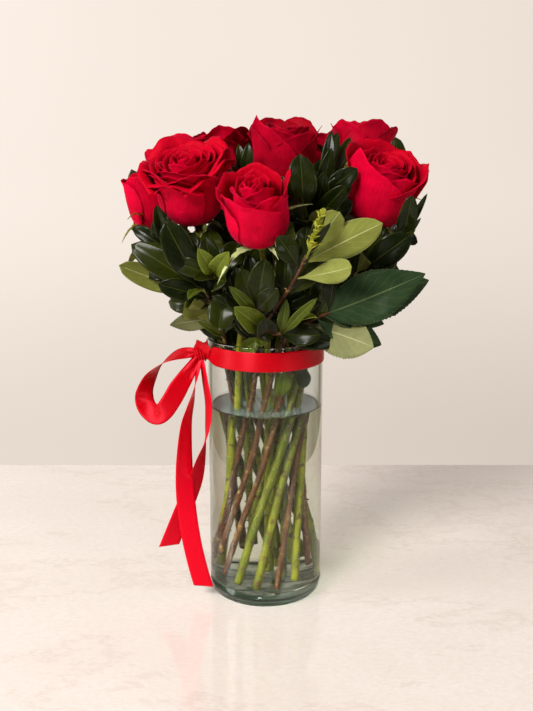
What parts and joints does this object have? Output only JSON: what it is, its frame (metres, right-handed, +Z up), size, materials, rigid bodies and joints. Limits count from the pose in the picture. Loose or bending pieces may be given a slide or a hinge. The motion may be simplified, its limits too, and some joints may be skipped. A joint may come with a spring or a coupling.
{
  "type": "roses in a vase",
  "caption": "Red roses and leafy stems standing in a clear glass cylinder vase of water, with a satin ribbon tied in a bow round its neck.",
  "frame": {"origin": "centre of the vase's flat foot, on the surface it stands on", "axes": "+Z up along the vase's axis, +X to the right and -Y to the front, with the bow at the left"},
  "size_m": [0.2583, 0.2597, 0.411],
  "materials": {
    "glass": "clear, smooth, faint green tint",
    "water": "clear still water",
    "petal": "soft, velvety",
    "rose_stem": "fresh green, smooth",
    "leaf": "fresh, waxy",
    "ribbon": "satin"
  },
  "bodies": {
    "root": {"vase": "glass", "water": "water", "ribbon": "ribbon", "rose_front_bloom": "petal", "rose_front_stem": "rose_stem", "rose_left_bloom": "petal", "rose_left_stem": "rose_stem", "rose_right_bloom": "petal", "rose_right_stem": "rose_stem", "rose_centre_bloom": "petal", "rose_centre_stem": "rose_stem", "rose_back_left_bloom": "petal", "rose_back_left_stem": "rose_stem", "rose_back_right_bloom": "petal", "rose_back_right_stem": "rose_stem", "rose_far_left_bloom": "petal", "rose_far_left_stem": "rose_stem", "rose_back_outer_bloom": "petal", "rose_back_outer_stem": "rose_stem", "rose_back_bloom": "petal", "rose_back_stem": "rose_stem", "foliage_left": "leaf", "foliage_front_left": "leaf", "foliage_front": "leaf", "foliage_salal_right": "leaf", "foliage_right": "leaf", "foliage_top": "leaf", "foliage_middle": "leaf", "foliage_inner_back": "leaf", "foliage_inner_right": "leaf", "foliage_back_right": "leaf", "foliage_back": "leaf", "foliage_back_left": "leaf"}
  },
  "joints": []
}
